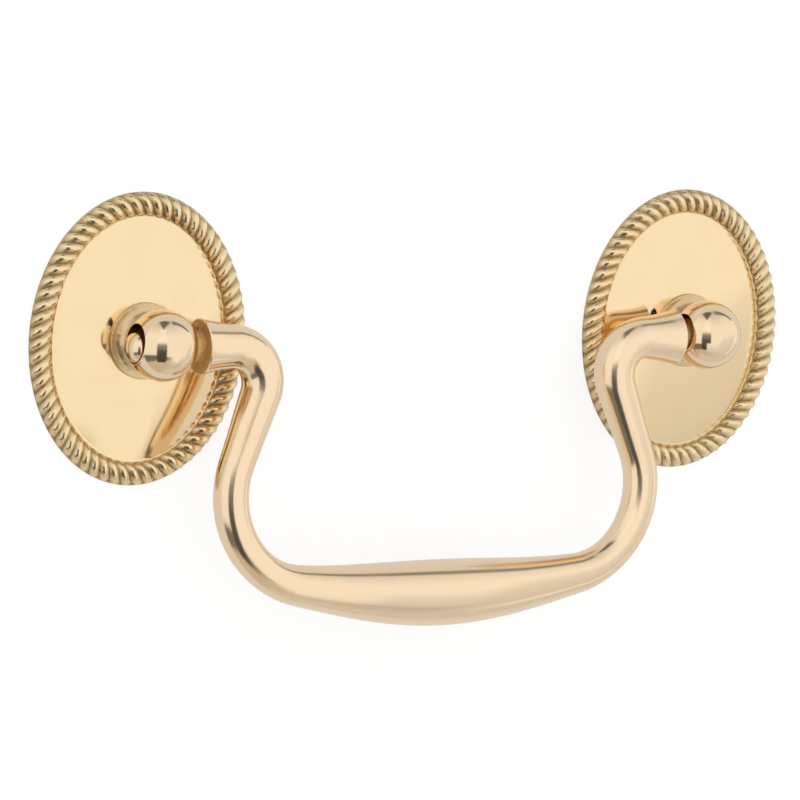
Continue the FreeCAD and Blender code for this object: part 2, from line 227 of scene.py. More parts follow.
# %% A post's outline, from the front of the ball to the end of the plain shank
def post_outline():
    """Points (radius, distance along the axis) for the lathe."""
    ball = arc((0, -POST_REACH), BALL_R, -90, 90 - COVE_START, BALL_SPANS)
    ball[0] = (0.0, ball[0][1])
    foot_level = -SEAT_LEVEL - FOOT_THICKNESS
    first = Vector(ball[-1])
    last = Vector((FOOT_R - COVE_LAND, foot_level))
    chord = last - first
    outward = Vector((chord.y, -chord.x)).normalized()
    centre = (first + last) / 2 + outward * math.sqrt(COVE_R**2 - (chord.length / 2) ** 2)
    turns = [math.degrees(math.atan2(p.y - centre.y, p.x - centre.x)) % 360 for p in (first, last)]
    cove = arc(centre, COVE_R, *turns, COVE_SPANS)[1:]
    rim = arc((FOOT_R - EDGE_R, foot_level + EDGE_R), EDGE_R, -90, 0, EDGE_SPANS)
    behind = [
        (FOOT_R, -SEAT_LEVEL),
        (SHOULDER_R, -SEAT_LEVEL),
        (SHOULDER_R, -SHOULDER_CHAMFER),
        (SHOULDER_R - SHOULDER_CHAMFER, 0),
        (SHANK_R, 0),
        (SHANK_R, SHANK_END - RUNOUT_START),
        (SHANK_R - RUNOUT_DEPTH, SHANK_END + RUNOUT_END),
        (0, SHANK_END + RUNOUT_END),
    ]
    return ball + cove + rim + behind


def drill_outline():
    """The tool for the cross hole: straight in the middle, flared where it leaves the ball."""
    flare = arc((MOUTH_X, HOLE_R + MOUTH_R), MOUTH_R, -90 - MOUTH_TURN, -90, MOUTH_SPANS)
    mouth = [(r, -x) for x, r in flare]
    straight = [(r, x) for x, r in reversed(flare)]
    near = [(0, -DRILL_END), (DRILL_END_R, -DRILL_END)]
    far = [(DRILL_END_R, DRILL_END), (0, DRILL_END)]
    return near + mouth + straight + far


# %% [markdown]
# ## Screw threads
#
# The stud has 32 threads to the inch. One tooth is drawn as a short line, and a Screw modifier winds it
# along the stud. A turned blank with a chamfered end then trims the helix to length, as a die leaves it.

# %% Thread sizes in millimetres
THREAD_PITCH = 25.4 / 32
THREAD_ROOT_R = 1.62
THREAD_CREST_R = 2.06
THREAD_STEPS = 40

# One tooth, as radius and share of the pitch
THREAD_TOOTH = [
    (THREAD_ROOT_R, 0),
    (THREAD_CREST_R, 0.36),
    (THREAD_CREST_R, 0.48),
    (THREAD_ROOT_R, 0.84),
    (THREAD_ROOT_R, 1),
]

# Turns wound before the thread starts, and past its end, for the blank to trim
LEAD_TURNS = 2.2
SPARE_TURNS = 2
BLANK_R = 2.4
BLANK_OVERLAP = 0.1
BLANK_STEPS = 48
TIP_CHAMFER = 0.7
TIP_R = 1.5
TIP_SHORT = 0.01


# %% The threaded end of a post
def wind_thread(name):
    """Winds the tooth, closes the two ends of the helix and trims it with the blank."""
    start = SHANK_END - LEAD_TURNS * THREAD_PITCH
    turns = math.ceil((STUD_END - start) / THREAD_PITCH) + SPARE_TURNS
    tooth = [(radius, start + share * THREAD_PITCH, 0) for radius, share in THREAD_TOOTH]
    piece = draw_line(name, tooth)
    bpy.ops.object.mode_set(mode="OBJECT")
    helix = piece.modifiers.new("helix", "SCREW")
    helix.axis = "Y"
    helix.steps = THREAD_STEPS
    helix.render_steps = THREAD_STEPS
    helix.screw_offset = THREAD_PITCH * MM
    helix.iterations = turns
    apply_modifiers(piece)
    bpy.ops.object.mode_set(mode="EDIT")
    weld()
    middle = (SHANK_END + STUD_END) / 2 * MM
    for at_tip in (False, True):
        pick(lambda v: on_edge(v) and (v.co.y > middle) == at_tip)
        bpy.ops.mesh.extrude_region_move()
        bpy.ops.mesh.merge(type="CENTER")
    weld()
    bpy.ops.object.mode_set(mode="OBJECT")
    outline = [
        (0, SHANK_END - BLANK_OVERLAP),
        (BLANK_R, SHANK_END - BLANK_OVERLAP),
        (BLANK_R, STUD_END - TIP_CHAMFER),
        (TIP_R, STUD_END - TIP_SHORT),
        (0, STUD_END - TIP_SHORT),
    ]
    blank = lathe(f"{name}_blank", outline, BLANK_STEPS)
    bpy.ops.object.mode_set(mode="OBJECT")
    cut(piece, blank, "INTERSECT")
    return piece


# %% Build one post, then copy it across
def make_post(name):
    """Turns a post at the middle, drills its ball and joins the thread to it."""
    post = lathe(name, post_outline(), POST_STEPS)
    bpy.ops.object.mode_set(mode="OBJECT")
    hole_centre = (0, -POST_REACH, HOLE_RISE)
    drill = lathe("drill", drill_outline(), DRILL_STEPS, axis="X", centre=hole_centre)
    bpy.ops.object.mode_set(mode="OBJECT")
    cut(post, drill, "DIFFERENCE")
    thread = wind_thread("thread")
    deselect()
    thread.select_set(True)
    post.select_set(True)
    bpy.context.view_layer.objects.active = post
    bpy.ops.object.join()
    return post


def place(piece, x):
    """Moves a piece made at the middle to its post, with its place in its mesh."""
    deselect()
    piece.select_set(True)
    bpy.context.view_layer.objects.active = piece
    bpy.ops.transform.translate(value=(x * MM, 0, 0))
    bpy.ops.object.transform_apply(location=True, rotation=True, scale=True)


def copy_across(piece, name):
    """A copy with its own mesh, on the other post."""
    deselect()
    piece.select_set(True)
    bpy.context.view_layer.objects.active = piece
    bpy.ops.object.duplicate()
    twin = bpy.context.object
    twin.name = name
    twin.data.name = name
    place(twin, 2 * POST_X)
    return twin


def mark_shade_and_roughness(piece, amount):
    """Stores on each vertex, from 0 to 1, how much painted shade and extra roughness it gets."""
    hollow = piece.data.attributes.new("hollow", "FLOAT", "POINT")
    for vert in piece.data.vertices:
        hollow.data[vert.index].value = amount(vert.co / MM)


# How much painted shade and roughness the hole, the foot and the shank get, and how those places are told
# apart
HOLE_SHADE = 0.9
FOOT_SHADE = 0.48
SHANK_SHADE = 0.3
HEAD_BACK = 2.6
INSIDE_BALL = 0.06
OUTSIDE_BALL = 0.05
FOOT_MARGIN = 0.1


def shade_on_post(point):
    """Painted shade, with more roughness, in the drilled hole, on the foot with its cove, and on the shank,
    on a post at the middle.
    """
    from_centre = (point - Vector((0, -POST_REACH, 0))).length
    if point.y < -POST_REACH + HEAD_BACK:
        return HOLE_SHADE if from_centre < BALL_R - INSIDE_BALL else 0.0
    if from_centre < BALL_R + OUTSIDE_BALL:
        return 0.0
    return FOOT_SHADE if point.y < -SEAT_LEVEL + FOOT_MARGIN else SHANK_SHADE


left_post = make_post("left_post_turned")
mark_shade_and_roughness(left_post, shade_on_post)
place(left_post, -POST_X)
bpy.ops.object.shade_smooth_by_angle(angle=math.radians(POST_CREASE))
right_post = copy_across(left_post, "right_post_turned")
print("posts:", len(left_post.data.polygons), "faces each")

# %% [markdown]
# ## The nuts
#
# Each stud carries a hexagon nut behind the drawer front. A six-sided cylinder is the bar, a cone turns
# the corners off its outer face, and a turned tool bores it with a small countersink at both ends.

# %% Build one nut, then copy it across
NUT_ACROSS = 8.73
NUT_THICKNESS = 3.2
NUT_LEVEL = 19.05
NUT_FACE = 0.95
NUT_CREASE = 30
CHAMFER_REACH = 1.6
CHAMFER_SLOPE = math.pi / 6
CHAMFER_STEPS = 96
SINK = 0.35
BORE_PLAY = 0.03
BORE_STEPS = 64
WORN_EDGE = 0.08
WORN_ANGLE = 35

# How far the two tools stand out past the nut
CHAMFER_SPARE = 0.5
BORE_SPARE = 0.1


def make_nut(name):
    """A hexagon bar with its corners turned off one face, bored, countersunk and worn at the edges."""
    deselect()
    bpy.ops.mesh.primitive_cylinder_add(
        vertices=6,
        radius=NUT_ACROSS / 2 / math.cos(math.pi / 6) * MM,
        depth=NUT_THICKNESS * MM,
        location=(0, (NUT_LEVEL + NUT_THICKNESS / 2) * MM, 0),
        rotation=(math.pi / 2, math.pi / 6, 0),
    )
    nut = start_editing(name)
    bpy.ops.object.mode_set(mode="OBJECT")
    face_r = NUT_ACROSS / 2 * NUT_FACE
    spread = CHAMFER_REACH / math.tan(CHAMFER_SLOPE)
    top = NUT_LEVEL + NUT_THICKNESS
    turned = [
        (0, NUT_LEVEL - CHAMFER_SPARE),
        (face_r + spread, NUT_LEVEL - CHAMFER_SPARE),
        (face_r + spread, top - CHAMFER_REACH),
        (face_r, top),
        (0, top),
    ]
    corners = lathe("corners", turned, CHAMFER_STEPS)
    bpy.ops.object.mode_set(mode="OBJECT")
    cut(nut, corners, "INTERSECT")
    bore = SHANK_R + BORE_PLAY
    bored = [
        (0, NUT_LEVEL - BORE_SPARE),
        (bore + SINK + BORE_SPARE, NUT_LEVEL - BORE_SPARE),
        (bore, NUT_LEVEL + SINK),
        (bore, top - SINK),
        (bore + SINK + BORE_SPARE, top + BORE_SPARE),
        (0, top + BORE_SPARE),
    ]
    borer = lathe("borer", bored, BORE_STEPS)
    bpy.ops.object.mode_set(mode="OBJECT")
    cut(nut, borer, "DIFFERENCE")
    worn = nut.modifiers.new("worn_edges", "BEVEL")
    worn.width = WORN_EDGE * MM
    worn.segments = 2
    worn.limit_method = "ANGLE"
    worn.angle_limit = math.radians(WORN_ANGLE)
    apply_modifiers(nut)
    return nut


left_nut = make_nut("left_nut_hex")
place(left_nut, -POST_X)
bpy.ops.object.shade_smooth_by_angle(angle=math.radians(NUT_CREASE))
right_nut = copy_across(left_nut, "right_nut_hex")
print("nuts:", len(left_nut.data.polygons), "faces each")

# %% [markdown]
# ## The rosettes
#
# A rosette is a domed oval with a rope rim. The rope is the part that takes skill. One strand is a small
# grid, shaped as a half-round bead with a groove at each end and sheared so that it leans. An Array lays
# a whole rim of them end to end, and a Curve modifier bends that strip round the oval, which keeps every
# strand the same length. The rest grows from the strip's two edges by extruding and scaling: inwards over
# the dome to the post's seat, and down and under to make the flat back.
#
# It is modelled lying flat, with its front upwards, and stood up at the end.

# %% Rosette sizes in millimetres
HALF_WIDTH = 14.25
HALF_HEIGHT = 17.4
RIM_WIDTH = 2.75
RIM_WALL = 0.08
RIM_CREST = 1.45
STRANDS = 64
STRAND_LEAN = 1.15
STRAND_GROOVE = 0.36
STRAND_FADE = 0.25
STRAND_COLUMNS = 12
STRAND_ROWS = 22
OVAL_RESOLUTION = 96
STRAND_WELD = 3e-6
PLATE_EDGE = 0.35
PLATE_CROWN = 1.7
CROWN_FLATNESS = 0.8
DOME_LAND = 0.15
DOME_LOOPS = 30
SEAT_R = 4.7
SEAT_EASE = 0.3
PLATE_HOLE_R = 2.56
ROSETTE_CREASE = 50

# How rough and dark the rope is all over, and how much more in its grooves and along its two edges, where
# the darker tint is painted shade in the creases
ROPE_DULL = 0.05
GROOVE_SHADE = 0.8
EDGE_SHADE = 0.6


def oval_length(a, b, steps=20000):
    """Length round an oval with half axes a and b."""
    turns = [(k + 0.5) * 2 * math.pi / steps for k in range(steps)]
    return sum(math.hypot(a * math.sin(t), b * math.cos(t)) for t in turns) * 2 * math.pi / steps


STRAND_PITCH = oval_length(HALF_WIDTH, HALF_HEIGHT) / STRANDS
print("strand pitch:", round(STRAND_PITCH, 4), "mm")


# %% One strand of the rope
def make_strand(name):
    """A leaning half-round bead with a groove at each end, from a grid."""
    deselect()
    bpy.ops.mesh.primitive_grid_add(
        x_subdivisions=STRAND_COLUMNS,
        y_subdivisions=STRAND_ROWS,
        size=1,
    )
    strand = bpy.context.object
    strand.name = name
    strand.data.name = name
    hollow = strand.data.attributes.new("hollow", "FLOAT", "POINT")
    for vert in strand.data.vertices:
        share = vert.co.x + 0.5
        around = math.pi * (0.5 + 0.5 * math.sin(math.pi * vert.co.y))
        dip = (1 - math.sin(math.pi * share)) * max(0.0, math.sin(around)) ** STRAND_FADE
        reach = 1 - STRAND_GROOVE * dip
        across = 0.5 - 0.5 * math.cos(around) * reach
        base = RIM_WALL + (PLATE_EDGE - RIM_WALL) * across
        height = base + (RIM_CREST - base) * math.sin(around) * reach
        along = (share + STRAND_LEAN * around / math.pi) * STRAND_PITCH
        vert.co = Vector((along, -across * RIM_WIDTH, height)) * MM
        # Painted shade: the grooves and the rope's two edges are drawn darker, and rougher, through the
        # hollow attribute
        edge = (1 - max(0.0, math.sin(around))) ** 2
        hollow.data[vert.index].value = min(1.0, ROPE_DULL + GROOVE_SHADE * dip + EDGE_SHADE * edge)
    return strand


# %% The rope, bent round the oval
def make_rope(name):
    """A rim of strands, left open along its two edges and in edit mode."""
    deselect()
    bpy.ops.curve.primitive_nurbs_circle_add(radius=MM)
    oval = bpy.context.object
    oval.scale = (HALF_WIDTH, HALF_HEIGHT, 1)
    bpy.ops.object.transform_apply(location=True, rotation=True, scale=True, properties=False)
    oval.data.resolution_u = OVAL_RESOLUTION
    oval.data.splines[0].resolution_u = OVAL_RESOLUTION
    rope = make_strand(name)
    row = rope.modifiers.new("strands", "ARRAY")
    row.count = STRANDS
    row.use_relative_offset = False
    row.use_constant_offset = True
    row.constant_offset_displace = (STRAND_PITCH * MM, 0, 0)
    bend = rope.modifiers.new("round_the_oval", "CURVE")
    bend.object = oval
    bend.deform_axis = "POS_X"
    apply_modifiers(rope)
    bpy.data.objects.remove(oval)
    bpy.ops.object.mode_set(mode="EDIT")
    bpy.ops.mesh.select_all(action="SELECT")
    bpy.ops.mesh.remove_doubles(threshold=STRAND_WELD)
    return rope


rope = make_rope("left_rosette_rope")
bpy.ops.object.mode_set(mode="OBJECT")
print_box(rope)

# %% [markdown]
# The dome is the cap of an ellipsoid, so its level lines are ovals of one shape. Each extruded loop is
# scaled to the next level line and lifted. Near the middle the loops turn into the round seat that the
# post's foot sits in.


# %% The dome, the seat and the back
def dome_height(x, y):
    """The front of the plate, in millimetres above its back."""
    shrink = 1 / math.sqrt(1 - CROWN_FLATNESS**2)
    wide = (HALF_WIDTH - RIM_WIDTH - DOME_LAND) * shrink
    high = (HALF_HEIGHT - RIM_WIDTH - DOME_LAND) * shrink
    deep = PLATE_CROWN / (1 - CROWN_FLATNESS)
    rise = deep * math.sqrt(max(0.0, 1 - (x / wide) ** 2 - (y / high) ** 2))
    return PLATE_EDGE + rise - deep * CROWN_FLATNESS


def extrude_loop(scale, lift=0.0):
    """Extrudes the selected loop, scales it about the middle of the plate and lifts it, in millimetres."""
    bpy.ops.mesh.extrude_region_move()
    bpy.ops.transform.resize(value=(scale[0], scale[1], 1), center_override=(0, 0, 0))
    bpy.ops.transform.translate(value=(0, 0, lift * MM))


def drop_on_dome():
    """Puts the selected loop exactly on the dome."""
    mesh = bmesh.from_edit_mesh(bpy.context.object.data)
    for vert in mesh.verts:
        if vert.select:
            vert.co.z = dome_height(vert.co.x / MM, vert.co.y / MM) * MM
    bmesh.update_edit_mesh(bpy.context.object.data)


def finish_rosette(rope):
    """Grows the back, the dome and the seat from the rope's two edges, and stands the rosette up."""
    deselect()
    rope.select_set(True)
    bpy.context.view_layer.objects.active = rope
    bpy.ops.object.mode_set(mode="EDIT")
    bpy.ops.mesh.select_mode(type="VERT")

    # Outer wall and back
    half_rim = RIM_WIDTH / 2

    def outside(vert):
        """True outside the rope's middle line."""
        wide = (HALF_WIDTH - half_rim) * MM
        high = (HALF_HEIGHT - half_rim) * MM
        return (vert.co.x / wide) ** 2 + (vert.co.y / high) ** 2 > 1

    pick(lambda v: on_edge(v) and outside(v))
    extrude_loop((1, 1), -RIM_WALL)
    extrude_loop((PLATE_HOLE_R / HALF_WIDTH, PLATE_HOLE_R / HALF_HEIGHT))

    # Dome
    inner = (HALF_WIDTH - RIM_WIDTH, HALF_HEIGHT - RIM_WIDTH)
    edge = (inner[0] - DOME_LAND, inner[1] - DOME_LAND)
    pick(lambda v: on_edge(v) and not outside(v) and v.co.z > RIM_WALL / 2 * MM)
    extrude_loop((edge[0] / inner[0], edge[1] / inner[1]))
    last = (SEAT_R + SEAT_EASE) / edge[0]
    share = 1.0
    for k in range(1, DOME_LOOPS + 1):
        following = 1 + (last - 1) * k / DOME_LOOPS
        extrude_loop((following / share, following / share))
        drop_on_dome()
        share = following
    oval = (edge[0] * last, edge[1] * last)
    between = ((oval[0] + SEAT_R) / 2, (oval[1] + SEAT_R) / 2)
    for before, after in ((oval, between), (between, (SEAT_R, SEAT_R))):
        extrude_loop((after[0] / before[0], after[1] / before[1]))
        drop_on_dome()

    # Seat, and the hole through to the back
    bpy.ops.mesh.extrude_region_move()
    bpy.ops.transform.resize(value=(1, 1, 0), center_override=(0, 0, SEAT_LEVEL * MM))
    extrude_loop((PLATE_HOLE_R / SEAT_R, PLATE_HOLE_R / SEAT_R))
    pick(on_edge)
    bpy.ops.mesh.bridge_edge_loops()
    weld()
    close(rope, ROSETTE_CREASE)

    # Everything inside the rope, and the back, is polished and gets no painted shade
    hollow = rope.data.attributes["hollow"]
    wide = edge[0] + DOME_LAND / 2
    high = edge[1] + DOME_LAND / 2
    for vert in rope.data.vertices:
        inside = math.hypot(vert.co.x / wide, vert.co.y / high) / MM < 1
        if inside or vert.co.z < RIM_WALL / 2 * MM:
            hollow.data[vert.index].value = 0.0
    bpy.ops.transform.rotate(value=-math.pi / 2, orient_axis="X", center_override=(0, 0, 0))
    bpy.ops.object.transform_apply(location=True, rotation=True, scale=True)
    return rope


left_rosette = finish_rosette(rope)
place(left_rosette, -POST_X)
print_box(left_rosette)
right_rosette = copy_across(left_rosette, "right_rosette_rope")

# %% [markdown]
# ## The bail
#
# The bail is one casting: a round-ended pin, a flared arm, a swan neck, and a grip that swells to its
# middle. It is modelled as a caster's wax would be rolled: a small circle at the pin's tip is extruded
# along the middle line, and at every station turned to follow the bend and scaled to the thickness there.
# Half is made, and a Mirror modifier gives the other half.

# %% Bail sizes in millimetres and degrees
PIN_R = 1.8
PIN_DROP = 0.2
PIN_PROUD = 0.45
PIN_TIP = POST_X + BALL_R + PIN_PROUD
PIN_DOME = 1.3
PIN_FILLET = 0.05
ARM_GAP = 0.6
ARM_END = POST_X - BALL_R - ARM_GAP
ARM_RUN = 4.26
ELBOW_R = 4.36
NECK_LEAN = 20.9
NECK_RUN = 8.57
CORNER_R = 11.0
GRIP_RISE = 9.1
ARM_END_DIA = 6.8
ARM_DIA = 5.1
NECK_DIA = 4.25
GRIP_DIA = 8.0
FLARE_LENGTH = 6.0
ARM_LENGTH = 8.0
NECK_START = 23.0
GRIP_START = 33.0
BAIL_SWING = 3.75
ARM_EDGE_R = 0.3
BAIL_CREASE = 40
MIRROR_REACH = 0.02

# Points round a ring, stations on each stretch, and angles on the pin's rounded end
RING_POINTS = 96
ARM_SPANS = 12
ELBOW_SPANS = 24
NECK_SPANS = 10
CORNER_SPANS = 28
GRIP_SPANS = 26
ARM_EDGE_SPANS = 6
PIN_ANGLES = (6, 12, 19, 26, 33, 41, 49, 57, 65, 73, 81, 90)

# The first station on the line, in edge radii, and a turn too small to need a rotation
FIRST_STATION = 1.2
NO_TURN = 1e-9


# %% The bail's middle line and thickness
def bail_line():
    """Stations (x, drop, heading, length so far) from the arm's end to the middle of the grip."""
    lean = math.radians(NECK_LEAN)
    rise = math.radians(GRIP_RISE)
    line = [(-ARM_END, 0.0, 0.0, 0.0)]

    def bend(length, turn, spans):
        """Adds a stretch of the given length that turns evenly."""
        for _ in range(spans):
            x, drop, heading, far = line[-1]
            step = length / spans
            half_turn = turn / spans / 2
            chord = step * (math.sin(half_turn) / half_turn if turn else 1)
            x += chord * math.cos(heading + half_turn)
            drop += chord * math.sin(heading + half_turn)
            line.append((x, drop, heading + 2 * half_turn, far + step))

    elbow = math.pi / 2 + lean
    corner = math.pi / 2 + lean - rise
    bend(ARM_RUN, 0, ARM_SPANS)
    bend(ELBOW_R * elbow, elbow, ELBOW_SPANS)
    bend(NECK_RUN, 0, NECK_SPANS)
    bend(CORNER_R * corner, -corner, CORNER_SPANS)
    grip = -line[-1][0] / math.sin(rise) * rise
    bend(grip, -rise, GRIP_SPANS)
    return line


def swell(share):
    """A soft step from 0 to 1."""
    share = min(max(share, 0.0), 1.0)
    return 0.5 - 0.5 * math.cos(math.pi * share)


def bail_radius(far, whole):
    """Half the thickness at a length along the line, which is whole long."""
    flare = max(0.0, 1 - far / FLARE_LENGTH) ** 2
    thinning = swell((far - ARM_LENGTH) / (NECK_START - ARM_LENGTH))
    swelling = swell((far - GRIP_START) / (whole - GRIP_START))
    dia = ARM_DIA + (ARM_END_DIA - ARM_DIA) * flare
    dia += (NECK_DIA - ARM_DIA) * thinning + (GRIP_DIA - NECK_DIA) * swelling
    return dia / 2


def bail_stations():
    """Stations (x, drop, heading, radius) from the pin's tip to the middle of the grip."""
    line = bail_line()
    whole = line[-1][3]
    stations = []
    for angle in PIN_ANGLES:
        turn = math.radians(angle)
        x = -PIN_TIP + PIN_DOME * (1 - math.cos(turn))
        stations.append((x, 0.0, 0.0, PIN_R * math.sin(turn)))
    stations.append((-ARM_END - PIN_FILLET, 0.0, 0.0, PIN_R))
    stations.append((-ARM_END, 0.0, 0.0, PIN_R + PIN_FILLET))
    centre = (-ARM_END + ARM_EDGE_R, bail_radius(0, whole) - ARM_EDGE_R)
    for x, radius in arc(centre, ARM_EDGE_R, 180, 90, ARM_EDGE_SPANS):
        stations.append((x, 0.0, 0.0, min(radius, bail_radius(x + ARM_END, whole))))
    for x, drop, heading, far in line:
        if far > ARM_EDGE_R * FIRST_STATION:
            stations.append((x, drop, heading, bail_radius(far, whole)))
    return stations


# %% Roll the wax along the line
def make_bail(name):
    """Extrudes a ring from station to station, mirrors the half and swings it to where it hangs."""
    stations = bail_stations()
    deselect()
    x, _, _, radius = stations[0]
    level = Vector((0, -POST_REACH, -PIN_DROP))
    bpy.ops.mesh.primitive_circle_add(
        vertices=RING_POINTS,
        radius=radius * MM,
        fill_type="TRIFAN",
        location=(Vector((x, 0, 0)) + level) * MM,
        rotation=(0, -math.pi / 2, 0),
    )
    bail = start_editing(name)
    for before, after in zip(stations, stations[1:]):
        old = (Vector((before[0], 0, -before[1])) + level) * MM
        new = (Vector((after[0], 0, -after[1])) + level) * MM
        bpy.ops.mesh.extrude_region_move(TRANSFORM_OT_translate={"value": new - old})
        turn = after[2] - before[2]
        if abs(turn) > NO_TURN:
            bpy.ops.transform.rotate(value=-turn, orient_axis="Y", center_override=new)
        scale = after[3] / before[3]
        bpy.ops.transform.resize(value=(scale, scale, scale), center_override=new)
    bpy.ops.mesh.delete(type="ONLY_FACE")
    bpy.ops.object.mode_set(mode="OBJECT")
    other_half = bail.modifiers.new("other_half", "MIRROR")
    other_half.use_axis = (True, False, False)
    other_half.use_mirror_merge = True
    other_half.merge_threshold = MIRROR_REACH * MM
    apply_modifiers(bail)
    bpy.ops.object.mode_set(mode="EDIT")
    weld()
    swing = math.radians(BAIL_SWING)
    bpy.ops.transform.rotate(value=swing, orient_axis="X", center_override=level * MM)
    return close(bail, BAIL_CREASE)


# How far the painted shade on an arm's end face reaches, along the arm and along the pin
FACE_ON_ARM = 0.04
FACE_ON_PIN = 0.1


def shade_on_bail(point):
    """Painted shade in the narrow gap, with more roughness, on the faces of the arms' ends and the roots of
    the pins.
    """
    return 1.0 if ARM_END - FACE_ON_ARM < abs(point.x) < ARM_END + FACE_ON_PIN else 0.0


bail = make_bail("bail_casting")
mark_shade_and_roughness(bail, shade_on_bail)
print_box(bail)

# %% [markdown]
# ## Brass
#
# Polished brass has almost no colour of its own beyond its reflection, so its looks are the reflected
# studio times one warm tint. What the eye reads as real metal is the small print: faint polishing lines
# and a roughness that is not quite even. In the grooves of the rope, in the drilled holes, on the posts'
# feet and on the arms' ends the brass is rougher where a cloth does not reach, and a browner, darker tint
# paints in the shade of those recesses. Those places carry the attribute called hollow.
#
# Shader maths is written as Python: a Wire is one socket, and an operator on it adds a Math node.


# %% A socket with operators
class Wire:
    """One socket of a node tree. Arithmetic on it adds Math nodes."""

    def __init__(self, tree, socket=None):
        self.tree = tree
        self.socket = socket

    def node(self, kind, settings=None, inputs=None, output=0):
        """Adds a node, sets it up, fills its sockets with values or links, and returns one output."""
        made = self.tree.nodes.new(kind)
        for key, value in (settings or {}).items():
            if key == "stops":
                ramp = made.color_ramp.elements
                while len(ramp) < len(value):
                    ramp.new(0.5)
                for stop, (position, colour) in zip(ramp, value):
                    stop.position = position
                    stop.color = colour
            else:
                setattr(made, key, value)
        for key, value in (inputs or {}).items():
            if isinstance(value, Wire):
                self.tree.links.new(value.socket, made.inputs[key])
            else:
                made.inputs[key].default_value = value
        return Wire(self.tree, made.outputs[output] if made.outputs else None)

    def maths(self, operation, *values):
        """Adds a Math node."""
        return self.node("ShaderNodeMath", {"operation": operation}, dict(enumerate(values)))

    def noise(self, vector, scale, detail):
        """Adds a Noise Texture, from 0 to 1."""
        inputs = {"Vector": vector, "Scale": scale, "Detail": detail}
        return self.node("ShaderNodeTexNoise", None, inputs, "Fac")

    def __add__(self, other):
        return self.maths("ADD", self, other)

    __radd__ = __add__

    def __sub__(self, other):
        return self.maths("SUBTRACT", self, other)

    def __rsub__(self, other):
        return self.maths("SUBTRACT", other, self)

    def __mul__(self, other):
        return self.maths("MULTIPLY", self, other)

    __rmul__ = __mul__


def linear(*srgb):
    """A colour written as 0 to 255 display values, for a shader."""
    shares = [c / 255 for c in srgb]
    return (*[c / 12.92 if c <= 0.04045 else ((c + 0.055) / 1.055) ** 2.4 for c in shares], 1.0)


# %% Finishes of brass
CLOUD_SCALE = 220.0
SPOT_SCALE = 1500.0
WAVE_SCALE = 160.0
LINE_SCALE = (400.0, 9000.0, 9000.0)
PIT_DEPTH = 0.00018

# Shares of the darker tint and of the roughness that the hollows, the clouds and the spots add; in the
# hollows the darker tint is painted shade
HOLLOW_TINT = 0.85
CLOUD_TINT = 0.16
CLOUD_ROUGH = 0.08
SPOT_ROUGH = 0.04


def new_tree(owner):
    """An empty node tree on a new material or world, as a Wire to start from."""
    owner.use_nodes = True
    owner.node_tree.nodes.clear()
    return Wire(owner.node_tree)


def brass(name, tint, shade_and_cloud_tint, roughness, line_height, wave_height, dull_rough, grain_turn):
    """Brass with polishing lines along grain_turn, a hand-polished waviness, and rougher hollows with
    painted shade.
    """
    material = bpy.data.materials.new(name)
    start = new_tree(material)
    place_on = start.node("ShaderNodeTexCoord", output="Object")
    cloudy = start.noise(place_on, CLOUD_SCALE, detail=3.0)
    spots = start.noise(place_on, SPOT_SCALE, detail=2.0)
    waves = start.noise(place_on, WAVE_SCALE, detail=1.0)
    grain = {"Vector": place_on, "Rotation": grain_turn, "Scale": LINE_SCALE}
    lines = start.noise(start.node("ShaderNodeMapping", None, grain), 1.0, detail=2.0)
    hollow = start.node("ShaderNodeAttribute", {"attribute_name": "hollow"}, None, "Fac")
    # The hollows' share of the second tint is painted shade; the clouds' share is a random uneven tone.
    shade_and_clouds = hollow * HOLLOW_TINT + (cloudy - 0.5) * CLOUD_TINT
    colour = start.node(
        "ShaderNodeMix",
        {"data_type": "RGBA", "clamp_factor": True},
        {0: shade_and_clouds, 6: linear(*tint), 7: linear(*shade_and_cloud_tint)},
        2,
    )
    rough = roughness + (cloudy - 0.5) * CLOUD_ROUGH + (spots - 0.5) * SPOT_ROUGH + hollow * dull_rough
    relief = waves * wave_height + lines * line_height + spots * hollow * PIT_DEPTH
    bump = start.node("ShaderNodeBump", None, {"Strength": 1.0, "Distance": 1.0, "Height": relief})
    shader = start.node(
        "ShaderNodeBsdfPrincipled",
        None,
        {"Base Color": colour, "Roughness": rough, "Normal": bump, "Metallic": 1.0},
    )
    start.node("ShaderNodeOutputMaterial", None, {"Surface": shader})
    return material


ALONG_X = (0, 0, 0)
ALONG_Y = (0, 0, math.pi / 2)
# Each second tint is painted shade in the hollows, and also the tone of the random clouds.
plate_brass = brass(
    "polished_plate_brass",
    tint=(250, 224, 180),
    shade_and_cloud_tint=(152, 127, 78),
    roughness=0.1,
    line_height=6e-7,
    wave_height=5e-6,
    dull_rough=0.4,
    grain_turn=ALONG_X,
)
cast_brass = brass(
    "polished_cast_brass",
    tint=(248, 222, 187),
    shade_and_cloud_tint=(222, 186, 118),
    roughness=0.17,
    line_height=1e-6,
    wave_height=2.5e-5,
    dull_rough=0.4,
    grain_turn=ALONG_X,
)
turned_brass = brass(
    "polished_turned_brass",
    tint=(246, 221, 184),
    shade_and_cloud_tint=(178, 142, 74),
    roughness=0.11,
    line_height=8e-7,
    wave_height=1e-5,
    dull_rough=0.4,
    grain_turn=ALONG_Y,
)
plain_brass = brass(
    "plain_turned_brass",
    tint=(222, 186, 122),
    shade_and_cloud_tint=(130, 96, 50),
    roughness=0.3,
    line_height=3e-6,
    wave_height=1e-5,
    dull_rough=0.2,
    grain_turn=ALONG_Y,
)

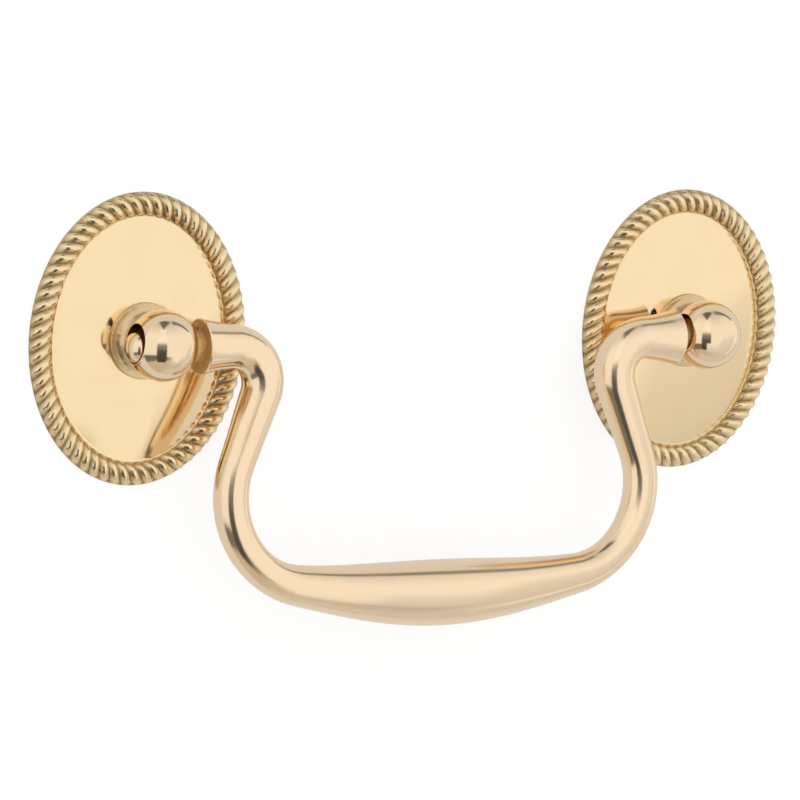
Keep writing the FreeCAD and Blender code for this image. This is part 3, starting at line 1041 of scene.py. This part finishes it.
for piece, body, node, finish, slot in (
    (bail, "bail", "bail", cast_brass, "polished_brass"),
    (left_rosette, "backing", "left_rosette", plate_brass, "polished_brass"),
    (right_rosette, "backing", "right_rosette", plate_brass, "polished_brass"),
    (left_post, "backing", "left_post", turned_brass, "polished_brass"),
    (right_post, "backing", "right_post", turned_brass, "polished_brass"),
    (left_nut, "backing", "left_nut", plain_brass, "plain_brass"),
    (right_nut, "backing", "right_nut", plain_brass, "plain_brass"),
):
    piece.data.materials.clear()
    piece.data.materials.append(finish)
    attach(piece, body)
    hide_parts(node)

# %% [markdown]
# ## The studio
#
# The pull is photographed on a white upright face inside a light tent: white nearly all round, with a
# slit where the camera looks in. Brass mirrors all of that, so the studio is part of the picture. The
# white face keeps a soft shadow round the rosettes. It shows only from its front, so that a view from
# behind still sees the studs and nuts.


# %% Stage: wall, floor and cards
CAMERA_WHITE = 1.09
STAGE_SIDE = 700
WALL_Y = 0.02
WALL_BOTTOM = -400
WALL_TOP = 500
FLOOR_Z = -150
FLOOR_BACK = 400

# The floor stops short of the camera, and sooner on the left, so that the right neck mirrors the dark there
FLOOR_FRONT = -60
FLOOR_FRONT_LEFT = -4
FLOOR_STEP_X = -40


def stage_plane(name, corners, faces=None):
    """A flat stage piece through corners in millimetres, as one face or as the faces given."""
    mesh = bpy.data.meshes.new(name)
    mesh.from_pydata([Vector(c) * MM for c in corners], [], faces or [tuple(range(len(corners)))])
    plane = bpy.data.objects.new(name, mesh)
    bpy.context.scene.collection.objects.link(plane)
    return plane


def white_surface(name, albedo, glow, mirrored, one_sided):
    """Matt white that also glows: white for the camera, and as bright as mirrored in a reflection."""
    material = bpy.data.materials.new(name)
    start = new_tree(material)
    camera_ray = start.node("ShaderNodeLightPath", None, None, "Is Camera Ray")
    glossy_ray = start.node("ShaderNodeLightPath", None, None, "Is Glossy Ray")
    matt = start.node("ShaderNodeBsdfDiffuse", None, {"Color": (albedo, albedo, albedo, 1)})
    level = camera_ray * (CAMERA_WHITE - mirrored) + mirrored
    light = start.node("ShaderNodeEmission", None, {"Color": level, "Strength": 1.0})
    share = start.maths("MAXIMUM", camera_ray, glossy_ray) * glow
    surface = start.node("ShaderNodeMixShader", None, {0: share, 1: matt, 2: light})
    if one_sided:
        clear = start.node("ShaderNodeBsdfTransparent")
        behind = start.node("ShaderNodeNewGeometry", None, None, "Backfacing")
        surface = start.node("ShaderNodeMixShader", None, {0: behind, 1: surface, 2: clear})
    start.node("ShaderNodeOutputMaterial", None, {"Surface": surface})
    return material


wall_edge = [
    (-STAGE_SIDE, WALL_BOTTOM),
    (STAGE_SIDE, WALL_BOTTOM),
    (STAGE_SIDE, WALL_TOP),
    (-STAGE_SIDE, WALL_TOP),
]
wall = stage_plane("wall", [(x, WALL_Y, z) for x, z in wall_edge])
wall_white = white_surface("white_face", albedo=0.95, glow=0.72, mirrored=0.75, one_sided=True)
wall.data.materials.append(wall_white)
floor_edge = [
    (-STAGE_SIDE, FLOOR_FRONT_LEFT),
    (FLOOR_STEP_X, FLOOR_FRONT_LEFT),
    (FLOOR_STEP_X, FLOOR_FRONT),
    (STAGE_SIDE, FLOOR_FRONT),
    (STAGE_SIDE, FLOOR_BACK),
    (-STAGE_SIDE, FLOOR_BACK),
]
floor = stage_plane("floor", [(x, y, FLOOR_Z) for x, y in floor_edge])
floor_white = white_surface("pale_floor", albedo=0.8, glow=0.3, mirrored=0.7, one_sided=False)
floor.data.materials.append(floor_white)


def card(name, columns):
    """A card that only reflections see: columns of (point, brightness) with as many points in each."""
    rows = len(columns[0])
    points = [point for column in columns for point, _ in column]
    quads = [
        (c * rows + r, c * rows + r + 1, (c + 1) * rows + r + 1, (c + 1) * rows + r)
        for c in range(len(columns) - 1)
        for r in range(rows - 1)
    ]
    plane = stage_plane(name, points, quads)
    level = plane.data.attributes.new("level", "FLOAT", "POINT")
    level.data.foreach_set("value", [bright for column in columns for _, bright in column])
    material = bpy.data.materials.new(name)
    start = new_tree(material)
    shade = start.node("ShaderNodeAttribute", {"attribute_name": "level"}, None, "Fac")
    light = start.node("ShaderNodeEmission", None, {"Color": shade, "Strength": 1.0})
    start.node("ShaderNodeOutputMaterial", None, {"Surface": light})
    plane.data.materials.append(material)
    plane.visible_camera = False
    plane.visible_diffuse = False
    plane.visible_shadow = False


# %% [markdown]
# The slit runs up the tent where the camera stands. Its rows are (half width, distance from the pull,
# height, brightness): dark up to the lens, bright above it, and dark again where its top folds over the
# pull. A dark strip hangs overhead on the right. The last card is a soft dark edge low on the right,
# close to the pull, as columns of (x, top, brightness at each drop).

# %% Cards
VIEW_TURN = math.radians(30.77)
CAMERA_SIDE = [
    (180, 600, -640, 0.05),
    (172, 600, -140, 0.09),
    (164, 600, 60, 0.3),
    (150, 600, 170, 0.95),
]
SLIT_LIGHT = [
    (140, 605, 170, 1.08),
    (110, 605, 1200, 1.0),
]
SLIT_TOP = [
    (0, 420, 600, 0.15),
    (165, 8, 600, 0.15),
]
OVERHEAD_X = (170, 1200)
OVERHEAD_Y = (-190, -34)
OVERHEAD_Z = 600
OVERHEAD_LEVEL = 0.25
LOW_RIGHT_Y = -60
LOW_RIGHT = [
    (6, -24, (1.0, 0.9, 0.78, 0.68, 0.4, 0.62, 0.58)),
    (42, -22, (1.0, 0.9, 0.78, 0.7, 0.5, 0.64, 0.6)),
    (58, 0, (1.0, 0.88, 0.8, 0.76, 0.7, 0.72, 0.68)),
    (190, 14, (1.0, 0.88, 0.8, 0.76, 0.74, 0.74, 0.7)),
]
LOW_RIGHT_DROPS = (0, 12, 27, 54, 62, 70, 110)


def slit_point(side, away, height):
    """A point by its distance to the side of the slit's middle, away from the pull, and above it."""
    return (
        -math.sin(VIEW_TURN) * away + math.cos(VIEW_TURN) * side,
        -math.cos(VIEW_TURN) * away - math.sin(VIEW_TURN) * side,
        height,
    )


def slit_card(name, rows):
    """A card with the same rows on both sides of the slit's middle."""
    columns = []
    for side in (-1, 1):
        columns.append([(slit_point(side * half, away, z), level) for half, away, z, level in rows])
    card(name, columns)


slit_card("camera_side", CAMERA_SIDE)
slit_card("slit_light", SLIT_LIGHT)
slit_card("slit_top", SLIT_TOP)
card("overhead", [[((x, y, OVERHEAD_Z), OVERHEAD_LEVEL) for y in OVERHEAD_Y] for x in OVERHEAD_X])
low_right = [
    [((x, LOW_RIGHT_Y, top - drop), level) for drop, level in zip(LOW_RIGHT_DROPS, levels)]
    for x, top, levels in LOW_RIGHT
]
card("low_right", low_right)

# %% World: a white tent with a dark edge low on the left, wider on the far left, and a table below
RIGHT_START = 0.1
RIGHT_RAMP = 2.9
FAR_LEFT_START = 0.5
FAR_LEFT_RAMP = -8.0
LEFT_TENT = [
    (-1.0, 0.60, 0.56, 0.48),
    (-0.67, 0.62, 0.58, 0.50),
    (-0.63, 0.28, 0.26, 0.22),
    (-0.51, 0.22, 0.21, 0.18),
    (-0.46, 0.92, 0.91, 0.89),
    (-0.42, 0.97, 0.97, 0.96),
    (-0.20, 1.00, 1.00, 1.00),
    (0.10, 1.00, 1.00, 1.00),
    (0.60, 1.00, 1.00, 1.00),
    (0.85, 0.85, 0.85, 0.86),
    (1.00, 0.62, 0.62, 0.63),
]
FAR_LEFT_TENT = [
    (-1.0, 0.60, 0.56, 0.48),
    (-0.72, 0.60, 0.56, 0.48),
    (-0.68, 0.20, 0.19, 0.16),
    (-0.45, 0.16, 0.155, 0.135),
    (-0.39, 0.92, 0.91, 0.89),
    (-0.34, 0.97, 0.97, 0.96),
    (0.60, 1.00, 1.00, 1.00),
    (0.85, 0.85, 0.85, 0.86),
    (1.00, 0.62, 0.62, 0.63),
]
RIGHT_TENT = [
    (-1.0, 0.72, 0.70, 0.66),
    (-0.88, 0.66, 0.64, 0.60),
    (-0.74, 0.72, 0.70, 0.66),
    (-0.62, 0.99, 0.99, 0.98),
    (-0.10, 1.00, 1.00, 1.00),
    (0.50, 1.00, 1.00, 1.00),
    (0.71, 0.90, 0.90, 0.90),
    (0.90, 0.74, 0.74, 0.75),
    (1.00, 0.58, 0.58, 0.59),
]

world = bpy.data.worlds.new("tent")
bpy.context.scene.world = world
start = new_tree(world)
direction = start.node("ShaderNodeTexCoord", None, None, "Generated")
height = start.node("ShaderNodeSeparateXYZ", None, {"Vector": direction}, "Z")
side = start.node("ShaderNodeSeparateXYZ", None, {"Vector": direction}, "X")


def tent(levels):
    """Colour by height: levels are (sine of the elevation, red, green, blue)."""
    stops = [(level * 0.5 + 0.5, (*colour, 1)) for level, *colour in levels]
    return start.node("ShaderNodeValToRGB", {"stops": stops}, {"Fac": height * 0.5 + 0.5})


def blend(share, first, second):
    """One colour into another, by a share that is held between 0 and 1."""
    held = start.node("ShaderNodeClamp", None, {"Value": share})
    return start.node("ShaderNodeMix", {"data_type": "RGBA"}, {0: held, 6: first, 7: second}, 2)


front = blend((side + RIGHT_START) * RIGHT_RAMP, tent(LEFT_TENT), tent(RIGHT_TENT))
shade = blend((side + FAR_LEFT_START) * FAR_LEFT_RAMP, front, tent(FAR_LEFT_TENT))
seen = start.node("ShaderNodeLightPath", None, None, "Is Camera Ray")
sky = start.node("ShaderNodeBackground", None, {"Color": shade, "Strength": 1.0})
white = start.node("ShaderNodeBackground", None, {"Color": (1, 1, 1, 1), "Strength": 1.0})
both = start.node("ShaderNodeMixShader", None, {0: seen, 1: sky, 2: white})
start.node("ShaderNodeOutputWorld", None, {"Surface": both})

# %% [markdown]
# ## The camera
#
# A long lens from the front left, a little above the pull and rolled a few degrees, worked out from the
# two ovals. Light has to bounce often between brass and brass before it comes back out of a groove or a
# narrow gap, so the renderer follows more mirror bounces than it does by default.

# %% Camera
MIRROR_BOUNCES = 8
VIEW_RISE = math.radians(7.24)
VIEW_ROLL = math.radians(2.78)
VIEW_AWAY = 666.0
FOCAL_PIXELS = 5500.0
FRAME_PIXELS = 800
SENSOR = 36.0
SHIFT_RIGHT = -1.91
SHIFT_UP = -8.05
CLIP_NEAR = 0.01
CLIP_FAR = 20

towards = Vector(
    (
        -math.sin(VIEW_TURN) * math.cos(VIEW_RISE),
        -math.cos(VIEW_TURN) * math.cos(VIEW_RISE),
        math.sin(VIEW_RISE),
    )
)
level_right = Vector((math.cos(VIEW_TURN), -math.sin(VIEW_TURN), 0))
level_up = towards.cross(level_right)
right = level_right * math.cos(VIEW_ROLL) + level_up * math.sin(VIEW_ROLL)
up = level_up * math.cos(VIEW_ROLL) - level_right * math.sin(VIEW_ROLL)
place_of_camera = (right * SHIFT_RIGHT + up * SHIFT_UP + towards * VIEW_AWAY) * MM
lens = bpy.data.cameras.new("camera")
lens.sensor_width = SENSOR
lens.lens = FOCAL_PIXELS * SENSOR / FRAME_PIXELS
lens.clip_start = CLIP_NEAR
lens.clip_end = CLIP_FAR
camera = bpy.data.objects.new("camera", lens)
bpy.context.scene.collection.objects.link(camera)
camera.matrix_world = Matrix(
    (
        (right.x, up.x, towards.x, place_of_camera.x),
        (right.y, up.y, towards.y, place_of_camera.y),
        (right.z, up.z, towards.z, place_of_camera.z),
        (0, 0, 0, 1),
    )
)
bpy.context.scene.camera = camera
bpy.context.scene.view_settings.view_transform = "Standard"
bpy.context.scene.cycles.max_bounces = MIRROR_BOUNCES
bpy.context.scene.cycles.glossy_bounces = MIRROR_BOUNCES
